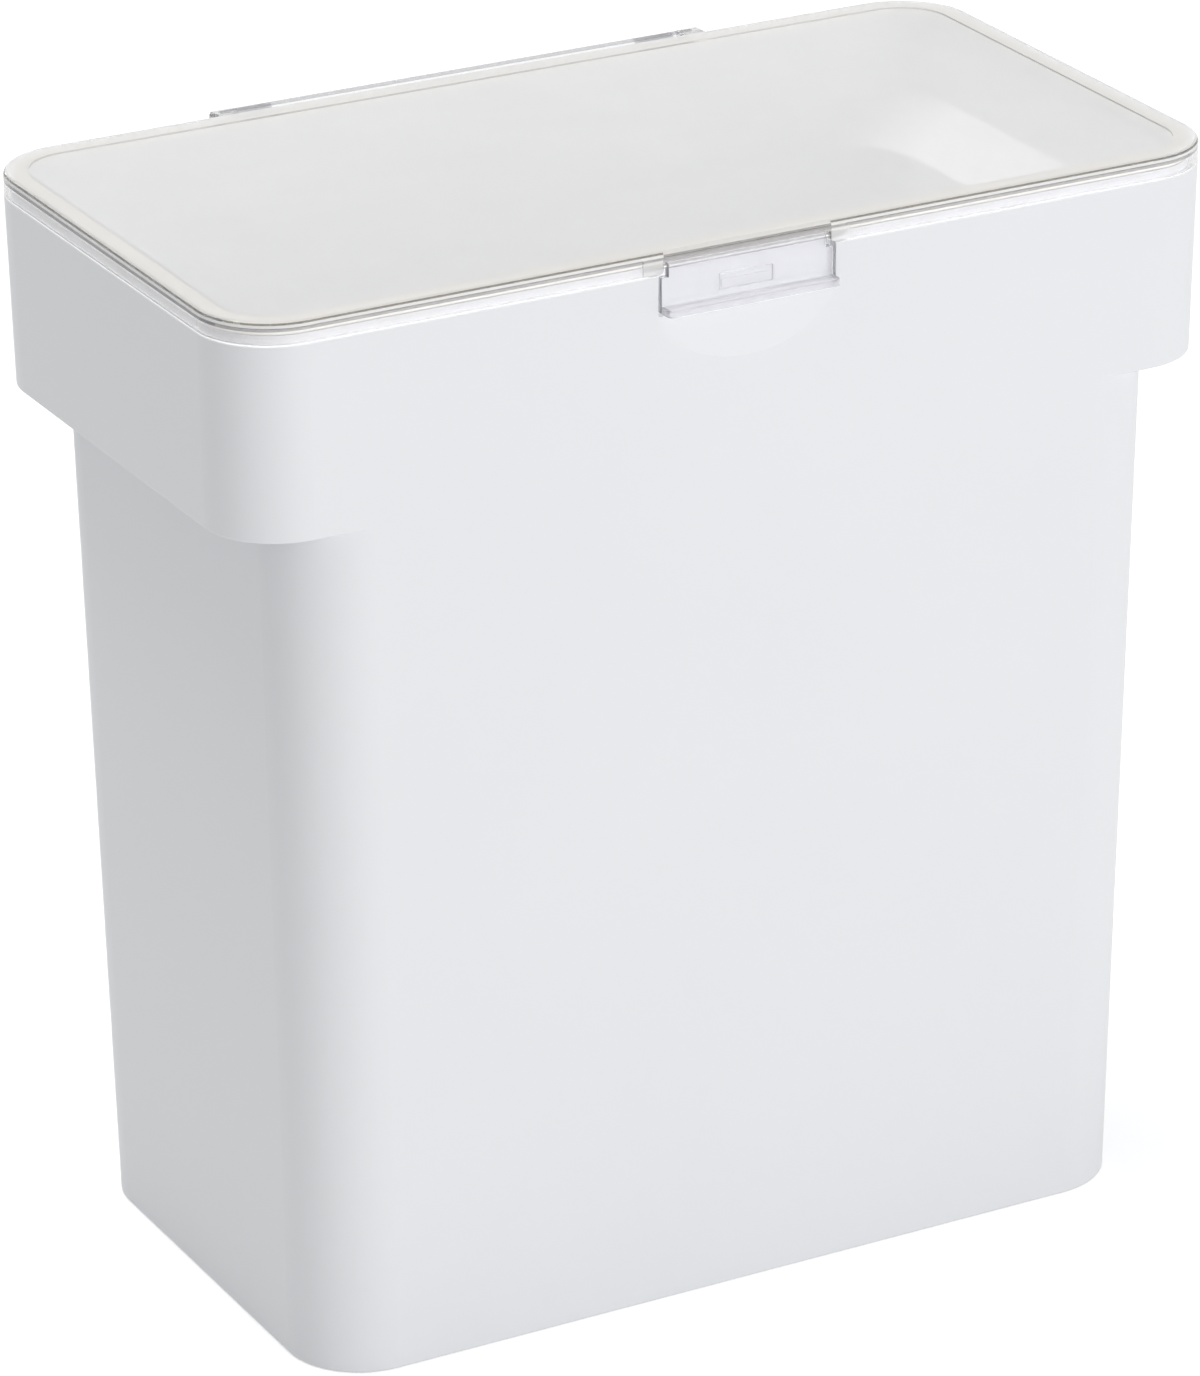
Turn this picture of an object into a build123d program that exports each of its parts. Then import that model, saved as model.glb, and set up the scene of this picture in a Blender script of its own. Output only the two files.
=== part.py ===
"""A tall white storage bin for dry pet food, with a clear hinged lid, a seal and a snap latch.

The bin is one moulding. Its top is a collar that is longer than the body, so that a skirt
hangs over each end and fingers go up under it to carry the bin. The lid is clear and turns on
a rod held by hooks on the back of the bin. A clear latch in the front of the lid snaps over a
nub on the bin. Millimetres, +Z up, X along the long side, -Y to the front.
The origin is the middle of the base, on the surface that the bin stands on.
"""

from build123d import *
from math import cos, radians, sin, tan
import os

# Overall sizes
LID_LENGTH = 280.0
LID_DEPTH = 149.0
TOTAL_HEIGHT = 290.0
LID_CORNER = 20.0

# Bin
DRAFT_DEG = 0.94
LID_BAND = 6.0
COLLAR_HEIGHT = 51.0
SKIRT_OVERHANG = 14.5
BODY_CORNER = 21.0
BODY_WALL = 2.8
COLLAR_SKIRT_WALL = 2.5
FOOT_RECESS = 8.5
FOOT_RING_WIDTH = 4.5
FLOOR_WALL = 2.8
FLOOR_EDGE_RADIUS = 6.0
FOOT_EDGE_RADIUS = 1.0
COLLAR_EDGE_RADIUS = 0.5
STEP_EDGE_RADIUS = 0.4
SLOPE_TOP_BELOW_STEP = 21.0
SLOPE_HEIGHT = 12.0
RIM_HEIGHT = 2.0
RIM_WALL = 2.0

# Lid and seal
LID_SKIRT_WALL = 1.8
LID_SKIRT_GAP = 0.3
LID_RIM_GAP = 0.8
LID_PLATE = 2.0
LID_BORDER_WIDTH = 6.5
LID_BORDER_RISE = 0.5
LID_EDGE_RADIUS = 1.2
SEAL_SIDE_GAP = 1.1
SEAL_WIDTH = 3.1
SEAL_GAP = 0.15
SEAL_LIP = 0.9

# Rear hinge
HINGE_ROD_RADIUS = 2.0
HINGE_ROD_BEHIND_LID = 5.5
HINGE_ROD_BELOW_TOP = 2.9
HINGE_RUNNING_CLEARANCE = 0.06
HINGE_ARM_SPAN = 143.0
HINGE_ARM_WIDTH = 5.5
HINGE_ARM_RADIUS = 2.1
HINGE_JOURNAL_RADIUS = 1.2
HINGE_JOURNAL_LENGTH = 3.5
HINGE_END_GAP = 0.15
HOOK_SPACING = 119.0
HOOK_WIDTH = 11.0
HOOK_WALL = 1.4
HOOK_MOUTH_DEG = 141.0
HOOK_MOUTH_AT_DEG = 82.5
HOOK_WEB_HEIGHT = 16.0

# Front latch
LATCH_WIDTH = 48.4
LATCH_NECK_WIDTH = 44.4
LATCH_PLATE = 1.9
LATCH_BOTTOM_BELOW_STEP = 10.0
LATCH_SHOULDER_BELOW_STEP = 0.8
LATCH_BARREL_RADIUS = 1.1
LATCH_PIN_RADIUS = 0.5
LATCH_PIN_BELOW_TOP = 4.2
LATCH_PIN_CLEARANCE = 0.05
LATCH_LIP_REACH = 4.2
LATCH_LIP_HEIGHT = 1.8
LATCH_LIP_CORNER = 1.6
LATCH_NECK_GAP = 1.4
LATCH_TOP_GAP = 0.3
LATCH_SIDE_GAP = 0.8
LATCH_CHEEK_WIDTH = 5.0
LATCH_CHEEK_DEPTH = 2.3
LATCH_LINTEL_CHAMFER = 1.1
LATCH_CORE_WIDTH = 15.0
LATCH_CORE_HEIGHT = 4.2
LATCH_CORE_DEPTH = 0.9
LATCH_NOTCH_CORNER = 1.0
LATCH_HOOK_TOP_BELOW_STEP = 6.9
CATCH_NUB_HEIGHT = 1.8
CATCH_NUB_SIDE_GAP = 1.0
CATCH_NUB_CLEARANCE = 0.2
CATCH_NUB_DROP_GAP = 0.4
THUMB_DISH_WIDTH = 54.0
THUMB_DISH_HEIGHT = 39.0
THUMB_DISH_DEPTH = 1.7
THUMB_DISH_BELOW_STEP = 8.0

# Levels and shared places, worked out from the sizes above
step_z = TOTAL_HEIGHT - LID_BAND
collar_bottom_z = step_z - COLLAR_HEIGHT
slope_top_z = step_z - SLOPE_TOP_BELOW_STEP
slope_bottom_z = slope_top_z - SLOPE_HEIGHT
floor_top_z = FOOT_RECESS + FLOOR_WALL
rim_top_z = step_z + RIM_HEIGHT
rim_inset = LID_SKIRT_WALL + LID_RIM_GAP
cavity_inset = rim_inset + RIM_WALL
border_under_z = TOTAL_HEIGHT - LID_PLATE
panel_top_z = TOTAL_HEIGHT - LID_BORDER_RISE
panel_under_z = panel_top_z - LID_PLATE
front_y = -LID_DEPTH / 2
back_y = LID_DEPTH / 2

hinge_y = back_y + HINGE_ROD_BEHIND_LID
hinge_z = TOTAL_HEIGHT - HINGE_ROD_BELOW_TOP

latch_pivot_y = front_y + LATCH_BARREL_RADIUS
latch_pivot_z = TOTAL_HEIGHT - LATCH_PIN_BELOW_TOP
latch_inner_y = front_y + LATCH_PLATE
latch_bottom_z = step_z - LATCH_BOTTOM_BELOW_STEP
latch_shoulder_z = step_z - LATCH_SHOULDER_BELOW_STEP
latch_hook_top_z = step_z - LATCH_HOOK_TOP_BELOW_STEP
latch_notch_half = LATCH_NECK_WIDTH / 2 + LATCH_NECK_GAP
lintel_under_z = latch_pivot_z + LATCH_BARREL_RADIUS + LATCH_TOP_GAP
latch_pin_reach = latch_notch_half + LATCH_CHEEK_WIDTH - 1
pocket_half = LATCH_WIDTH / 2 + LATCH_SIDE_GAP
pocket_back_y = front_y + rim_inset


def draft_inset(z):
    """How far a drafted outer wall has come in at height z, from the step under the lid."""
    return (step_z - z) * tan(radians(DRAFT_DEG))


def collar_size(z, inset=0.0):
    """Length, depth and corner radius of the collar at height z."""
    shrink = 2 * (draft_inset(z) + inset)
    return LID_LENGTH - shrink, LID_DEPTH - shrink, LID_CORNER - inset


def body_size(z, inset=0.0):
    """Length, depth and corner radius of the body below the collar at height z."""
    shrink = 2 * (draft_inset(z) + inset)
    return LID_LENGTH - 2 * SKIRT_OVERHANG - shrink, LID_DEPTH - shrink, BODY_CORNER - inset


def lid_size(inset=0.0):
    """Length, depth and corner radius of the lid's outline, taken in by inset."""
    return LID_LENGTH - 2 * inset, LID_DEPTH - 2 * inset, LID_CORNER - inset


def outline(z, size):
    """A rounded rectangle at height z."""
    length, depth, radius = size
    return Plane.XY.offset(z) * RectangleRounded(length, depth, radius)


def tapered(z_low, size_low, z_high, size_high):
    """A solid between two rounded rectangles at two heights."""
    return loft([outline(z_low, size_low), outline(z_high, size_high)], ruled=True)


def slab(z_low, z_high, size):
    """A rounded rectangle pulled up from z_low to z_high."""
    return extrude(outline(z_low, size), z_high - z_low)


def block(x_low, x_high, y_low, y_high, z_low, z_high):
    """A box between two corners."""
    size = (x_high - x_low, y_high - y_low, z_high - z_low)
    middle = ((x_low + x_high) / 2, (y_low + y_high) / 2, (z_low + z_high) / 2)
    return Pos(*middle) * Box(*size)


def rod_along_x(radius, x_low, x_high, y, z):
    """A round bar along X."""
    turned = Pos((x_low + x_high) / 2, y, z) * Rot(0, 90, 0)
    return turned * Cylinder(radius, x_high - x_low)


def side_profile(points, x_low, x_high):
    """A polygon of (y, z) points pulled along X."""
    face = make_face(Polyline(*[(x_low, y, z) for y, z in points], close=True))
    return extrude(face, amount=x_high - x_low, dir=(1, 0, 0))


def cavity_depth(z):
    """Depth of the bin's inside at height z, widening steadily from the floor to the rim."""
    at_floor = body_size(floor_top_z, BODY_WALL)[1]
    at_rim = LID_DEPTH - 2 * cavity_inset
    share = (z - floor_top_z) / (rim_top_z - floor_top_z)
    return at_floor + share * (at_rim - at_floor)


def make_cavity():
    """The space for the food: a tapered body, a slope out under the collar, and the mouth."""
    body_corner = BODY_CORNER - BODY_WALL
    mouth_corner = LID_CORNER - cavity_inset
    mouth_length = LID_LENGTH - 2 * cavity_inset
    low = body_size(floor_top_z, BODY_WALL)[0], cavity_depth(floor_top_z), body_corner
    mid = body_size(slope_bottom_z, BODY_WALL)[0], cavity_depth(slope_bottom_z), body_corner
    wide = mouth_length, cavity_depth(slope_top_z), mouth_corner
    mouth = mouth_length, cavity_depth(rim_top_z), mouth_corner
    lower = tapered(floor_top_z, low, slope_bottom_z, mid)
    lower = fillet(lower.edges().group_by(Axis.Z)[0], FLOOR_EDGE_RADIUS)
    slope = tapered(slope_bottom_z, mid, slope_top_z, wide)
    upper = tapered(slope_top_z, wide, rim_top_z, mouth)
    return lower + slope + upper


def make_grip_hollow():
    """The space under the collar at each end, where fingers go to lift the bin."""
    inside_skirt = tapered(
        collar_bottom_z - 1,
        collar_size(collar_bottom_z - 1, COLLAR_SKIRT_WALL),
        slope_top_z,
        collar_size(slope_top_z, COLLAR_SKIRT_WALL),
    )
    # The underside of the slope runs level with the slope itself, one wall below it.
    slope_run = (LID_LENGTH / 2 - cavity_inset) - body_size(slope_bottom_z, BODY_WALL)[0] / 2
    slope_length = (slope_run**2 + SLOPE_HEIGHT**2) ** 0.5
    drop = BODY_WALL * slope_length / slope_run
    flare_low_z = slope_bottom_z - drop + BODY_WALL * SLOPE_HEIGHT / slope_run
    flare_high_z = slope_top_z - 1
    flare_run = (flare_high_z - flare_low_z) * slope_run / SLOPE_HEIGHT
    length, depth, corner = body_size(flare_low_z)
    flared = length + 2 * flare_run, depth, corner
    below = collar_bottom_z - 2
    straight = tapered(below, body_size(below), flare_low_z, body_size(flare_low_z))
    flare = tapered(flare_low_z, body_size(flare_low_z), flare_high_z, flared)
    lid_side = slab(flare_high_z, slope_top_z + 1, (LID_LENGTH, LID_DEPTH, LID_CORNER))
    return inside_skirt - straight - flare - lid_side


def make_hook(x_middle):
    """One open hook behind the bin that the hinge rod snaps into, and the web that carries it."""
    bore = HINGE_ROD_RADIUS + HINGE_RUNNING_CLEARANCE
    outer = bore + HOOK_WALL
    x_low, x_high = x_middle - HOOK_WIDTH / 2, x_middle + HOOK_WIDTH / 2
    wall_y = back_y - BODY_WALL / 2
    web = side_profile(
        [
            (wall_y, step_z - HOOK_WEB_HEIGHT),
            (wall_y, step_z - 0.2),
            (hinge_y - outer * 0.8, step_z - 0.2),
            (hinge_y, hinge_z),
            (hinge_y + outer * 0.8, hinge_z - outer * 0.6),
            (hinge_y + outer * 0.6, hinge_z - outer * 0.8),
        ],
        x_low,
        x_high,
    )
    ring = rod_along_x(outer, x_low, x_high, hinge_y, hinge_z)
    reach = outer * 2
    half = radians(HOOK_MOUTH_DEG / 2)
    at = radians(HOOK_MOUTH_AT_DEG)
    mouth = side_profile(
        [
            (hinge_y, hinge_z),
            (hinge_y + reach * cos(at - half), hinge_z + reach * sin(at - half)),
            (hinge_y + reach * cos(at), hinge_z + reach * sin(at)),
            (hinge_y + reach * cos(at + half), hinge_z + reach * sin(at + half)),
        ],
        x_low - 1,
        x_high + 1,
    )
    hole = rod_along_x(bore, x_low - 1, x_high + 1, hinge_y, hinge_z)
    return web + ring - mouth - hole


def make_thumb_dish():
    """A shallow oval dish in the front wall, so that a finger gets under the latch's lip."""
    half_height = THUMB_DISH_HEIGHT / 2
    radius = (half_height**2 + THUMB_DISH_DEPTH**2) / (2 * THUMB_DISH_DEPTH)
    reach = THUMB_DISH_WIDTH / 2 * radius / half_height
    half_oval = split(Ellipse(reach, radius), Plane.XZ)
    melon = revolve(half_oval, Axis.X)
    return Pos(0, front_y - radius + THUMB_DISH_DEPTH, step_z - THUMB_DISH_BELOW_STEP) * melon


def make_bin():
    """The white bin, with its collar, grips, foot ring, hinge hooks and latch pocket."""
    body = tapered(0, body_size(0), slope_top_z, body_size(slope_top_z))
    body = fillet(body.edges().group_by(Axis.Z)[0], FOOT_EDGE_RADIUS)
    collar = tapered(collar_bottom_z, collar_size(collar_bottom_z), step_z, collar_size(step_z))
    collar = fillet(collar.edges().group_by(Axis.Z)[0], COLLAR_EDGE_RADIUS)
    collar = fillet(collar.edges().group_by(Axis.Z)[-1], STEP_EDGE_RADIUS)
    rim = slab(step_z, rim_top_z, lid_size(rim_inset))
    shell = body + collar + rim - make_cavity() - make_grip_hollow()
    foot_low = body_size(0, FOOT_RING_WIDTH)
    foot_high = body_size(FOOT_RECESS, FOOT_RING_WIDTH)
    shell -= tapered(-1, foot_low, FOOT_RECESS, foot_high)
    shell -= make_thumb_dish()
    pocket_low_z = latch_bottom_z - LATCH_SIDE_GAP
    shell -= block(-pocket_half, pocket_half, front_y - 2, pocket_back_y, pocket_low_z, rim_top_z + 1)
    nub_half = LATCH_CORE_WIDTH / 2 - CATCH_NUB_SIDE_GAP
    nub_low_z = latch_hook_top_z + CATCH_NUB_DROP_GAP
    nub_front_y = latch_inner_y + CATCH_NUB_CLEARANCE
    shell += block(
        -nub_half, nub_half, nub_front_y, pocket_back_y + 0.5, nub_low_z, nub_low_z + CATCH_NUB_HEIGHT
    )
    for side in (-1, 1):
        shell += make_hook(side * HOOK_SPACING / 2)
    return shell


def make_lid():
    """The clear lid: a plate with a raised border, a skirt round it, arms and latch cheeks."""
    skirt_z = step_z + LID_SKIRT_GAP
    cap = slab(skirt_z, TOTAL_HEIGHT, lid_size())
    cap = fillet(cap.edges().group_by(Axis.Z)[-1], LID_EDGE_RADIUS)
    border_inner = lid_size(LID_BORDER_WIDTH)
    cap -= slab(panel_top_z, TOTAL_HEIGHT + 1, border_inner)
    hollow = slab(skirt_z - 1, border_under_z, lid_size(LID_SKIRT_WALL))
    hollow -= slab(panel_under_z, TOTAL_HEIGHT, border_inner)
    cap -= hollow
    # The notch for the latch, with a lintel over it and thicker cheeks that hold the pin
    half = latch_notch_half
    cheek_half = half + LATCH_CHEEK_WIDTH
    cheek_y = front_y + LATCH_CHEEK_DEPTH
    cap += block(-cheek_half, cheek_half, front_y, cheek_y, skirt_z, border_under_z)
    cap -= block(-half, half, front_y - 1, cheek_y + 0.2, skirt_z - 1, lintel_under_z)
    mouth_edges = [
        edge
        for edge in cap.edges().filter_by(Axis.Y)
        if abs(edge.center().Z - skirt_z) < 0.01 and abs(abs(edge.center().X) - half) < 0.01
    ]
    cap = fillet(mouth_edges, LATCH_NOTCH_CORNER)
    chamfer_y = front_y + LATCH_LINTEL_CHAMFER
    chamfer_z = TOTAL_HEIGHT - LATCH_LINTEL_CHAMFER
    above_z = TOTAL_HEIGHT + 1
    edge = [(front_y - 1, chamfer_z - 1), (front_y - 1, above_z), (chamfer_y + 1, above_z)]
    cap -= side_profile(edge, -half, half)
    pin_hole = LATCH_PIN_RADIUS + LATCH_PIN_CLEARANCE
    cap -= rod_along_x(pin_hole, -latch_pin_reach, latch_pin_reach, latch_pivot_y, latch_pivot_z)
    for side in (-1, 1):
        cap += make_hinge_arm(side)
    journal_hole = HINGE_JOURNAL_RADIUS + HINGE_RUNNING_CLEARANCE
    hole_end = HINGE_ARM_SPAN / 2 - HINGE_ARM_WIDTH + HINGE_JOURNAL_LENGTH + HINGE_END_GAP
    return cap - rod_along_x(journal_hole, -hole_end, hole_end, hinge_y, hinge_z)


def make_hinge_arm(side):
    """One arm on the back of the lid that carries an end of the hinge rod."""
    outside = side * HINGE_ARM_SPAN / 2
    inside = outside - side * HINGE_ARM_WIDTH
    x_low, x_high = min(outside, inside), max(outside, inside)
    top_z = TOTAL_HEIGHT - LID_BORDER_RISE
    low_z = step_z + LID_SKIRT_GAP
    web = side_profile(
        [
            (back_y - LID_SKIRT_WALL / 2, low_z),
            (back_y - LID_SKIRT_WALL / 2, top_z),
            (hinge_y, hinge_z + HINGE_ARM_RADIUS),
            (hinge_y, hinge_z - HINGE_ARM_RADIUS),
            (hinge_y - HINGE_ARM_RADIUS, low_z),
        ],
        x_low,
        x_high,
    )
    boss = rod_along_x(HINGE_ARM_RADIUS, x_low, x_high, hinge_y, hinge_z)
    return web + boss


def make_seal():
    """The seal: a flat silicone ring in the lid's channel, with two lips that meet the rim."""
    outer_inset = LID_SKIRT_WALL + SEAL_SIDE_GAP
    bottom_z = rim_top_z + SEAL_GAP
    ring = slab(bottom_z, border_under_z, lid_size(outer_inset))
    ring -= slab(bottom_z - 1, border_under_z + 1, lid_size(outer_inset + SEAL_WIDTH))
    groove = slab(bottom_z - 1, bottom_z + SEAL_LIP, lid_size(outer_inset + SEAL_LIP))
    groove -= slab(bottom_z - 2, bottom_z + 2, lid_size(outer_inset + SEAL_WIDTH - SEAL_LIP))
    return ring - groove


def make_hinge_rod():
    """The clear rod that the lid turns on, with a thinner journal at each end."""
    arm_face = HINGE_ARM_SPAN / 2 - HINGE_ARM_WIDTH
    rod_end = arm_face - HINGE_END_GAP
    journal_end = arm_face + HINGE_JOURNAL_LENGTH
    rod = rod_along_x(HINGE_ROD_RADIUS, -rod_end, rod_end, hinge_y, hinge_z)
    return rod + rod_along_x(HINGE_JOURNAL_RADIUS, -journal_end, journal_end, hinge_y, hinge_z)


def make_latch():
    """The clear latch: a neck on a barrel, a wider plate, a pull lip and a cored back."""
    half = LATCH_WIDTH / 2
    neck_half = LATCH_NECK_WIDTH / 2
    plate = block(-half, half, front_y, latch_inner_y, latch_bottom_z, latch_shoulder_z)
    neck = block(-neck_half, neck_half, front_y, latch_inner_y, latch_shoulder_z, latch_pivot_z)
    barrel = rod_along_x(LATCH_BARREL_RADIUS, -neck_half, neck_half, latch_pivot_y, latch_pivot_z)
    lip_face = Pos(0, front_y - LATCH_LIP_REACH / 2 + LATCH_LIP_CORNER / 2) * RectangleRounded(
        LATCH_WIDTH, LATCH_LIP_REACH + LATCH_LIP_CORNER, LATCH_LIP_CORNER
    )
    lip = Pos(0, 0, latch_bottom_z) * extrude(lip_face, LATCH_LIP_HEIGHT)
    lip -= block(-half, half, latch_inner_y, 0, latch_bottom_z - 1, latch_shoulder_z)
    latch = plate + neck + barrel + lip
    core_half = LATCH_CORE_WIDTH / 2
    core_y = latch_inner_y - LATCH_CORE_DEPTH
    core_top_z = latch_hook_top_z + LATCH_CORE_HEIGHT
    latch -= block(-core_half, core_half, core_y, latch_inner_y + 1, latch_hook_top_z, core_top_z)
    pin_hole = LATCH_PIN_RADIUS + LATCH_PIN_CLEARANCE
    return latch - rod_along_x(pin_hole, -half, half, latch_pivot_y, latch_pivot_z)


def make_latch_pin():
    """The steel pin through the latch's barrel, held at its ends by the lid's cheeks."""
    reach = latch_pin_reach - LATCH_PIN_CLEARANCE
    return rod_along_x(LATCH_PIN_RADIUS, -reach, reach, latch_pivot_y, latch_pivot_z)


def write(name, shape):
    """Writes one piece to parts/NAME.step."""
    print(name, len(shape.solids()), round(shape.volume), shape.is_valid)
    export_step(shape, f"parts/{name}.step")


os.makedirs("parts", exist_ok=True)
write("bin", make_bin())
write("lid", make_lid())
write("lid_seal", make_seal())
write("hinge_rod", make_hinge_rod())
write("latch", make_latch())
write("latch_pin", make_latch_pin())
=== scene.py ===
import bpy
from math import cos, radians, sin
from mathutils import Matrix, Vector


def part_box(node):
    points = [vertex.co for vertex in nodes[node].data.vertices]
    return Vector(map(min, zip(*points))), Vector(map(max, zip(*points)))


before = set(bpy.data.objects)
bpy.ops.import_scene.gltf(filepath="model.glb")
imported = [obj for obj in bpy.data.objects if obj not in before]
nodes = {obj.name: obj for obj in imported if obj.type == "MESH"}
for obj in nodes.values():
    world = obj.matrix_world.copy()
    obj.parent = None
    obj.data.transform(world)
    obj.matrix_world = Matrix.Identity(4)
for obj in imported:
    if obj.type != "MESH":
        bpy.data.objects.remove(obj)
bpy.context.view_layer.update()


# The studio is a pale floor under an even white sky. Both look white to the eye, but they light
# the bin at a plain level, and the floor keeps the bin's soft shadow.
class Sock:
    """A shader socket that Python's own operators can work on."""

    def __init__(self, tree, socket):
        self.tree = tree
        self.socket = socket

    def math(self, operation, first, second):
        return node(self.tree, "ShaderNodeMath", {"operation": operation}, {0: first, 1: second})[0]

    def __add__(self, other):
        return self.math("ADD", self, other)

    def __radd__(self, other):
        return self.math("ADD", other, self)

    def __sub__(self, other):
        return self.math("SUBTRACT", self, other)

    def __rsub__(self, other):
        return self.math("SUBTRACT", other, self)

    def __mul__(self, other):
        return self.math("MULTIPLY", self, other)

    def __rmul__(self, other):
        return self.math("MULTIPLY", other, self)

    def __gt__(self, other):
        return self.math("GREATER_THAN", self, other)

    def __lt__(self, other):
        return self.math("LESS_THAN", self, other)

    def at_most(self, other):
        return self.math("MINIMUM", self, other)

    def at_least(self, other):
        return self.math("MAXIMUM", self, other)

    def smooth(self, low, high):
        """0 below low, 1 above high, and a soft step between them."""
        settings = {"interpolation_type": "SMOOTHSTEP"}
        return node(self.tree, "ShaderNodeMapRange", settings, {0: self, 1: low, 2: high})[0]


class Outputs:
    """The outputs of one node, by name or number."""

    def __init__(self, tree, made):
        self.tree = tree
        self.made = made

    def __getitem__(self, key):
        return Sock(self.tree, self.made.outputs[key])


def node(tree, kind, settings=None, values=None):
    """Adds a node, sets its settings, then the values or links of its inputs."""
    made = tree.nodes.new(kind)
    for name, value in (settings or {}).items():
        setattr(made, name, value)
    for key, value in (values or {}).items():
        if isinstance(value, Sock):
            tree.links.new(value.socket, made.inputs[key])
        else:
            made.inputs[key].default_value = value
    return Outputs(tree, made)


def new_material(name):
    """An empty node material and its tree."""
    material = bpy.data.materials.new(name)
    material.use_nodes = True
    material.node_tree.nodes.clear()
    return material, material.node_tree


def place_on(tree):
    """The place on the piece, in its own coordinates."""
    return node(tree, "ShaderNodeTexCoord")["Object"]


def mix_shaders(tree, amount, first, second):
    """A shader that goes from first to second as amount goes from 0 to 1."""
    return node(tree, "ShaderNodeMixShader", None, {0: amount, 1: first, 2: second})[0]


def seen_by_eye(tree):
    """1 for what the camera sees straight, in a reflection or through clear plastic."""
    path = node(tree, "ShaderNodeLightPath")
    seen = path["Is Camera Ray"] + path["Is Glossy Ray"] + path["Is Transmission Ray"]
    return seen.at_most(1.0)


def surface(tree, shader):
    """Ends a material's tree in its output."""
    node(tree, "ShaderNodeOutputMaterial", None, {"Surface": shader})


white = (1.0, 1.0, 1.0, 1.0)
sky_colour = (0.97, 0.985, 1.0, 1.0)
sky_strength = 0.435
world = bpy.data.worlds.new("studio_sky")
bpy.context.scene.world = world
world.use_nodes = True
sky = world.node_tree
sky.nodes.clear()
light_sky = node(sky, "ShaderNodeBackground", None, {"Color": sky_colour, "Strength": sky_strength})
white_sky = node(sky, "ShaderNodeBackground", None, {"Color": white, "Strength": 1.0})
mixed_sky = mix_shaders(sky, seen_by_eye(sky), light_sky[0], white_sky[0])
node(sky, "ShaderNodeOutputWorld", None, {"Surface": mixed_sky})

# Light crosses many clear faces on its way through the lid into the bin and out again.
bounces = bpy.context.scene.cycles
bounces.max_bounces = 24
bounces.diffuse_bounces = 10
bounces.glossy_bounces = 8
bounces.transmission_bounces = 16
bounces.transparent_max_bounces = 24

# The lamps light the floor less and less further out, so its own glow grows there.
floor_half = 6.0
floor_grey = (0.86, 0.86, 0.86, 1.0)
near_glow = 0.46
more_glow_far_out = 0.4
near_reach = 0.8
far_reach = 2.2
floor_corners = [(x * floor_half, y * floor_half, 0) for x, y in ((-1, -1), (1, -1), (1, 1), (-1, 1))]
floor_mesh = bpy.data.meshes.new("studio_floor")
floor_mesh.from_pydata(floor_corners, [], [(0, 1, 2, 3)])
studio_floor = bpy.data.objects.new("studio_floor", floor_mesh)
bpy.context.collection.objects.link(studio_floor)
floor_paint, tree = new_material("floor_paint")
matt = node(tree, "ShaderNodeBsdfDiffuse", None, {"Color": floor_grey})
distance = node(tree, "ShaderNodeVectorMath", {"operation": "LENGTH"}, {0: place_on(tree)})["Value"]
far_out = distance.smooth(near_reach, far_reach)
glow_strength = seen_by_eye(tree) * (near_glow + more_glow_far_out * far_out)
glow = node(tree, "ShaderNodeEmission", None, {"Color": white, "Strength": glow_strength})
lit = node(tree, "ShaderNodeAddShader", None, {0: matt[0], 1: glow[0]})
surface(tree, lit[0])
floor_mesh.materials.append(floor_paint)


def soft_lamp(name, place, aim, size, power, colour):
    """A square lamp that stands at place and is turned to aim."""
    data = bpy.data.lights.new(name, "AREA")
    data.shape = "SQUARE"
    data.size = size
    data.energy = power
    data.color = colour
    lamp = bpy.data.objects.new(name, data)
    bpy.context.collection.objects.link(lamp)
    lamp.location = place
    lamp.rotation_euler = (Vector(aim) - Vector(place)).to_track_quat("-Z", "Y").to_euler()


soft_lamp(
    "front_lamp",
    place=(0.7, -2.4, 0.65),
    aim=(0, 0, 0.15),
    size=1.6,
    power=27.0,
    colour=(1.0, 1.0, 1.0),
)
soft_lamp(
    "top_lamp",
    place=(-0.25, 0.4, 2.4),
    aim=(0, 0, 0.2),
    size=1.2,
    power=24.5,
    colour=(1.0, 0.99, 0.97),
)

# The camera stands to the front left of the bin and looks down on its lid, with a long lens.
# Its focal length and optical centre are in pixels of the picture.
picture_width = 1200.0
picture_height = 1376.0
focal_px = 7053.0
centre_px = (595.71, 668.87)
sensor_mm = 36.0
yaw = radians(28.12)
pitch = radians(22.92)
roll = radians(-0.57)
camera_distance = 1.84099
target = Vector((-0.00365, 0.0, 0.14826))
back = Vector((-sin(yaw) * cos(pitch), -cos(yaw) * cos(pitch), sin(pitch)))
side = (-back).cross(Vector((0, 0, 1))).normalized()
over = side.cross(-back)
right = side * cos(roll) + over * sin(roll)
up = over * cos(roll) - side * sin(roll)
camera_data = bpy.data.cameras.new("long_lens")
camera_data.sensor_width = sensor_mm
camera_data.lens = focal_px / picture_height * sensor_mm
camera_data.shift_x = (picture_width / 2 - centre_px[0]) / picture_height
camera_data.shift_y = (centre_px[1] - picture_height / 2) / picture_height
camera_data.clip_start = 0.1
camera_data.clip_end = 50.0
camera = bpy.data.objects.new("camera", camera_data)
bpy.context.collection.objects.link(camera)
turned = Matrix(
    (
        (right.x, up.x, back.x, 0),
        (right.y, up.y, back.y, 0),
        (right.z, up.z, back.z, 0),
        (0, 0, 0, 1),
    )
)
camera.matrix_world = Matrix.Translation(target + back * camera_distance) @ turned
bpy.context.scene.camera = camera
bpy.context.scene.view_settings.view_transform = "Standard"


# The bin is one moulding of white polypropylene. It has a satin face with a very fine grain
# from the spark-eroded mould, and it is a shade cool.
def noise(tree, place, scale, detail):
    """An uneven value from 0 to 1 over the place; a larger scale is finer."""
    values = {"Vector": place, "Scale": scale, "Detail": detail}
    return node(tree, "ShaderNodeTexNoise", None, values)["Fac"]


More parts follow.
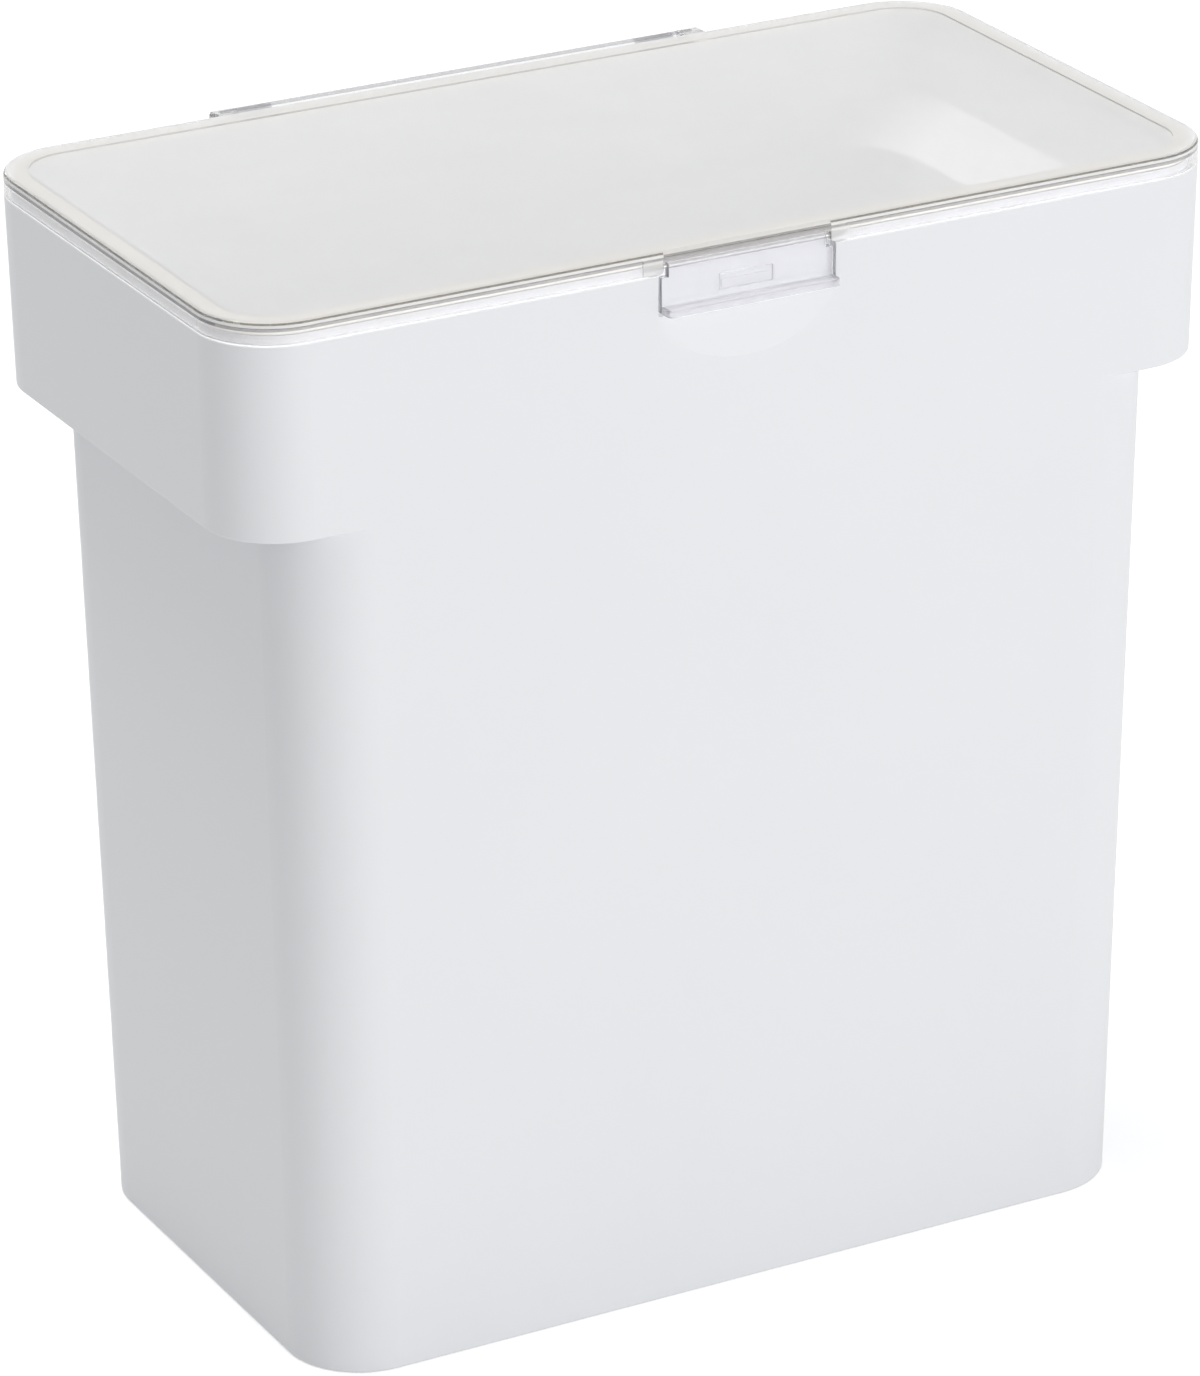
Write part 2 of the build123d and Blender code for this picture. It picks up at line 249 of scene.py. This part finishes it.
def blend(tree, amount, first, second):
    """A colour that goes from first to second as amount goes from 0 to 1."""
    values = {"Factor": amount, "A": first, "B": second}
    mixed = node(tree, "ShaderNodeMix", {"data_type": "RGBA"}, values)
    colour_output = 2
    return mixed[colour_output]


def relief(tree, height, strength, depth):
    """The direction of a face that height raises by up to depth."""
    values = {"Height": height, "Strength": strength, "Distance": depth}
    return node(tree, "ShaderNodeBump", None, values)["Normal"]


def finish(tree, values):
    """A plain plastic or metal shader with these values."""
    return node(tree, "ShaderNodeBsdfPrincipled", None, values)[0]


def paint(name, material):
    """Gives a piece its material."""
    for slot in nodes[name].material_slots:
        slot.material = material


white_low = (0.835, 0.845, 0.868, 1.0)
white_high = (0.860, 0.868, 0.886, 1.0)
white_plastic, tree = new_material("white_polypropylene")
place = place_on(tree)
mould_grain = noise(tree, place, 2600.0, 2.0)
cloud = noise(tree, place, 14.0, 3.0)
satin_white = finish(
    tree,
    {
        "Base Color": blend(tree, cloud, white_low, white_high),
        "Roughness": 0.40 + 0.10 * cloud,
        "IOR": 1.49,
        "Normal": relief(tree, mould_grain, 0.05, 0.0001),
    },
)
surface(tree, satin_white)
paint("bin", white_plastic)


# The lid is moulded in clear styrene. Light runs along inside its plate, so its edges and corners show
# dark; these dark lines are painted into its colour in near-black slate.
# The mould gives its top a fine satin haze that softens what is seen through it. The shade where the seal
# and the gap beside the bin's rim lie behind its skirt is painted into the skirt's colour, and a pale band
# along its rounded edge is a painted highlight.
lid_low, lid_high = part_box("lid")
lid_top = lid_high[2]
half_length = lid_high[0]
half_depth = -lid_low[1]
corner_radius = 0.020
notch_half = 0.0236
notch_reach = 0.0030
# The near-black of the painted dark lines and painted shade on the clear pieces.
painted_line_colour = (0.03, 0.03, 0.045, 1.0)
shadow_tone = (0.985, 0.985, 0.985, 1.0)

# Each painted dark line, painted shade and painted highlight round the lid: two depths below its top, the
# softness of its sides and its strength.
rounding_line = (0.00032, 0.00070, 0.00005, 0.66)
edge_highlight_line = (0.00076, 0.00144, 0.00005, 0.90)
plate_line = (0.00150, 0.00232, 0.00010, 0.78)
seal_shade = (0.00285, 0.00430, 0.00010, 0.22)
rim_shade = (0.00430, 0.00550, 0.00010, 0.16)
lintel_line = (0.00085, 0.00115, 0.00004, 0.72)

# Each painted dark line along the border's step: two insets from the lid's outline, then as above.
step_line = (0.0064, 0.0066, 0.00004, 0.32)
left_step_line = (0.0056, 0.0068, 0.00020, 0.40)

# Beside the latch, a painted dark line and then a haze: two distances from the middle of the lid, then as
# above.
notch_side_line = (0.02350, 0.02365, 0.00003, 0.85)
cheek_haze = (0.02370, 0.02900, 0.00010, 0.45)


def either(first, *others):
    """The greatest of several masks."""
    for other in others:
        first = first.at_least(other)
    return first


def size_of(value):
    """A value without its sign."""
    return value.math("ABSOLUTE", value, 0.0)


def line(value, low, high, soft, strength):
    """The strength between low and high, with soft sides, and 0 elsewhere."""
    return value.smooth(low - soft, low + soft) * (1.0 - value.smooth(high - soft, high + soft)) * strength


def clear_styrene(name, tint, haze_and_highlight_tone, masks):
    """Clear styrene; masks gives its painted dark lines and its haze, with any painted highlight, from the
    place on the piece.
    """
    made, tree = new_material(name)
    place = place_on(tree)
    apart = node(tree, "ShaderNodeSeparateXYZ", None, {"Vector": place})
    smear = noise(tree, place, 30.0, 4.0)
    dark, haze = masks(apart["X"], apart["Y"], apart["Z"])
    glass = finish(
        tree,
        {
            # The painted dark lines turn the tint towards near-black.
            "Base Color": blend(tree, dark, tint, painted_line_colour),
            "Roughness": 0.012 + 0.03 * smear,
            "IOR": 1.50,
            "Transmission Weight": 1.0,
        },
    )
    bloom = node(tree, "ShaderNodeBsdfDiffuse", None, {"Color": haze_and_highlight_tone})[0]
    # The haze mask mixes in a diffuse bloom; on the lid it also makes the painted highlights.
    hazy = mix_shaders(tree, haze * (0.94 + 0.12 * smear), glass, bloom)
    open_way = node(tree, "ShaderNodeBsdfTransparent", None, {"Color": shadow_tone})[0]
    is_shadow = node(tree, "ShaderNodeLightPath")["Is Shadow Ray"]
    surface(tree, mix_shaders(tree, is_shadow, hazy, open_way))
    return made


def inset_from_outline(x, y):
    """How far a place lies inside the lid's outline, seen from above."""
    across = size_of(x) - (half_length - corner_radius)
    along = size_of(y) - (half_depth - corner_radius)
    past_x = across.at_least(0.0)
    past_y = along.at_least(0.0)
    squares = past_x * past_x + past_y * past_y
    past_corner = squares.math("SQRT", squares, 0.0)
    inside = across.at_least(along).at_most(0.0)
    return corner_radius - past_corner - inside


def lid_masks(x, y, z):
    """Painted dark lines at the lid's rounded edge, plate edge, border step and notch, painted shade in
    its skirt, and its haze with painted highlights.
    """
    depth = lid_top - z
    inset = inset_from_outline(x, y)
    over_notch = (size_of(x) < notch_half) * (y < notch_reach - half_depth)
    beside_notch = 1.0 - over_notch
    far_side = either(x > half_length - 0.0020, y > half_depth - 0.0020)
    end_side = size_of(x) > half_length - 0.0015
    on_wall = inset < 0.0003
    on_rounding = inset < 0.00112

    # The dark lines that the lid's edges, step and notch show are painted into its colour.
    rounding = line(depth, *rounding_line) * on_rounding * beside_notch
    plate_edge = line(depth, *plate_line) * on_wall * (1.0 + 0.24 * end_side) * beside_notch
    notch_side = line(size_of(x), *notch_side_line) * (y < 0.0010 - half_depth) * (depth > 0.0024)
    far_edge = (depth < 0.00080) * (inset < 0.0021) * far_side * 0.42
    lintel_edge = line(depth, *lintel_line) * over_notch
    lintel_front = (depth > 0.00130) * (depth < 0.0032) * (y < 0.0001 - half_depth) * over_notch * 0.80
    step = line(inset, *step_line) * (depth > 0.00005) * (depth < 0.00049) * (x < 0.128)
    left_step = line(inset, *left_step_line) * (depth < 0.00070) * (x < -0.126)
    # Painted shade in the skirt over the seal and the bin's rim, and a painted shadow in the gap at its
    # foot.
    painted_seal_shade = line(depth, *seal_shade) * on_wall
    painted_rim_shade = line(depth, *rim_shade) * on_wall
    painted_gap_shadow = (depth > 0.00550) * on_wall * 0.34
    painted_edge_lines = either(rounding, plate_edge, notch_side * beside_notch, far_edge, step, left_step)
    dark = either(painted_edge_lines, lintel_edge, lintel_front, painted_seal_shade, painted_rim_shade, painted_gap_shadow)

    # The satin haze of the top and skirt, with a painted highlight along the rounded edge and on the
    # notch's chamfer.
    top = (depth < 0.00055) * either(inset > 0.0011, depth < 0.00028) * 0.54
    painted_edge_highlight = line(depth, *edge_highlight_line) * (inset < 0.0011) * beside_notch * (1.0 - far_side)
    painted_chamfer_highlight = (depth < 0.00080) * (inset < 0.0012) * over_notch * 0.6
    skirt = (depth > 0.00210) * on_wall * 0.22
    cheeks = line(size_of(x), *cheek_haze) * (y < 0.0005 - half_depth) * (depth > 0.00210)
    return dark, either(top, painted_edge_highlight, painted_chamfer_highlight, skirt, cheeks)


# The haze tone is also the colour of the lid's painted highlights.
lid_tint = (0.90, 0.895, 0.905, 1.0)
lid_haze_and_highlight = (0.915, 0.912, 0.903, 1.0)
paint("lid", clear_styrene("styrene_lid", lid_tint, lid_haze_and_highlight, lid_masks))


# The hinge rod is a clear styrene bar between the lid's two arms, and turns in the bin's hooks.
# The dark line that its upper edge shows, facing up and a little to the back, is painted into its colour
# as one thin line.
rod_back = 0.080
rod_height = 0.2871
line_back = 0.389
line_up = 0.921
line_starts = 0.0007
line_full = 0.0010
rod_painted_line_strength = 0.70
rod_haze_amount = 0.20


def rod_masks(x, y, z):
    """A painted dark line along the top of the hinge rod, and an even haze."""
    height = (y - rod_back) * line_back + (z - rod_height) * line_up
    return height.smooth(line_starts, line_full) * rod_painted_line_strength, rod_haze_amount


rod_tint = (0.93, 0.93, 0.94, 1.0)
rod_haze = (0.90, 0.90, 0.91, 1.0)
paint("hinge_rod", clear_styrene("styrene_rod", rod_tint, rod_haze, rod_masks))


# The latch is a clear styrene plate with a pull lip, a narrower neck and a cored back. It turns
# on a pin in the notch of the lid and hooks under a nub on the bin. The dark that its ends show is painted
# into its colour.
plate_half = 0.02412
plate_back = -0.07365
plate_front = -0.07455
painted_end_strength = 0.92
lip_half = 0.0235
lip_low = 0.27425
lip_high = 0.27555
lip_front = -0.0785
lip_painted_end_strength = 0.7
neck_bottom = 0.2831
neck_back = -0.0732
core_back = -0.0735
core_half = 0.0075
core_bottom = 0.2771
core_top = 0.2813
latch_haze_amount = 0.22

# Each painted dark line: two places along its axis, the softness of its sides and its strength.
neck_end_line = (0.02212, 0.02230, 0.00003, 0.92)
core_side_line = (core_half - 0.00006, core_half + 0.00006, 0.00006, 0.3)
core_low_line = (core_bottom - 0.0001, core_bottom + 0.0001, 0.00006, 0.3)
core_span = (core_bottom, core_top, 0.0001, 1.0)
lip_edge_line = (lip_high, lip_high + 0.00035, 0.0001, 0.45)


def latch_masks(x, y, z):
    """Painted dark ends and fine painted dark lines on the latch, round its core and along its lip."""
    out = size_of(x)
    plate_end = (out > plate_half) * (y < plate_back) * (y > plate_front) * painted_end_strength
    lip_skin = either(z > lip_high, z < lip_low)
    lip_end = (out > lip_half) * (y < plate_front) * lip_skin * lip_painted_end_strength
    neck_end = line(out, *neck_end_line) * (z > neck_bottom) * (y < neck_back)
    core_side = line(out, *core_side_line) * line(z, *core_span)
    core_low = line(z, *core_low_line) * (out < core_half) * (y > core_back)
    lip_edge = line(z, *lip_edge_line) * (y < lip_front)
    dark = either(plate_end, lip_end, neck_end, core_side, core_low, lip_edge)
    return dark, latch_haze_amount


latch_tint = (0.85, 0.848, 0.868, 1.0)
latch_haze = (0.82, 0.815, 0.84, 1.0)
paint("latch", clear_styrene("styrene_latch", latch_tint, latch_haze, latch_masks))


# The seal is a cream silicone ring in the channel under the lid's border. It is soft, so it has
# a dull, faintly uneven face.
cream_low = (0.89, 0.87, 0.82, 1.0)
cream_high = (0.93, 0.915, 0.875, 1.0)
silicone, tree = new_material("cream_silicone")
mottle = noise(tree, place_on(tree), 220.0, 3.0)
rubber = finish(
    tree,
    {
        "Base Color": blend(tree, mottle, cream_low, cream_high),
        "Roughness": 0.50 + 0.15 * mottle,
        "Normal": relief(tree, mottle, 0.1, 0.0002),
    },
)
surface(tree, rubber)
paint("lid_seal", silicone)


# The latch pin is a plain length of drawn steel wire, held by its ends in the lid's cheeks. The
# draw lines run along it.
along_pin = (40.0, 4000.0, 4000.0)
drawn_steel, tree = new_material("drawn_steel")
stretched = node(tree, "ShaderNodeMapping", None, {"Vector": place_on(tree), "Scale": along_pin})[0]
draw_lines = noise(tree, stretched, 1.0, 2.0)
steel = finish(
    tree,
    {
        "Base Color": (0.56, 0.55, 0.54, 1.0),
        "Metallic": 1.0,
        "Roughness": 0.25 + 0.2 * draw_lines,
    },
)
surface(tree, steel)
paint("latch_pin", drawn_steel)
